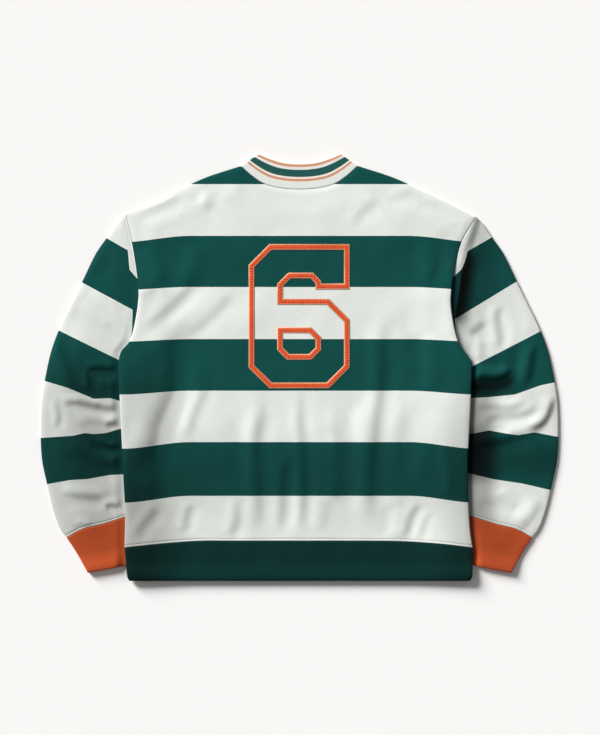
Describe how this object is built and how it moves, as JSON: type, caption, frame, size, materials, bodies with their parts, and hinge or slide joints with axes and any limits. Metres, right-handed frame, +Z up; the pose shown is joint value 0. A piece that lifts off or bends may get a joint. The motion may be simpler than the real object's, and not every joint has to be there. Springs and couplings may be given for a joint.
{
  "type": "striped long-sleeve crew-neck rugby shirt laid flat",
  "caption": "Boxy striped long-sleeve jersey shirt with rib neck, cuffs and hem and a plain outlined numeral, laid flat with its back up.",
  "frame": {"origin": "centre of the shirt's outline on the surface that it lies on", "axes": "+Z up from the surface through the back panel, +Y towards the neck, +X along the chest to the right of the back view"},
  "size_m": [0.854, 0.704, 0.012],
  "materials": {
    "jersey": "matte heavy cotton jersey, off-white with dark green stripes",
    "cuff_rib": "matte orange rib knit",
    "hem_rib": "matte dark green rib knit",
    "neck_rib": "matte rib knit with white and orange stripes",
    "numeral_felt": "matte orange felt with stitched edges"
  },
  "bodies": {
    "root": {"back_panel": "jersey", "front_panel": "jersey", "sleeve_left": "jersey", "sleeve_right": "jersey", "cuff_left": "cuff_rib", "cuff_right": "cuff_rib", "hem_rib": "hem_rib", "neck_rib": "neck_rib", "number_outline": "numeral_felt", "number_counter": "numeral_felt"}
  },
  "joints": []
}
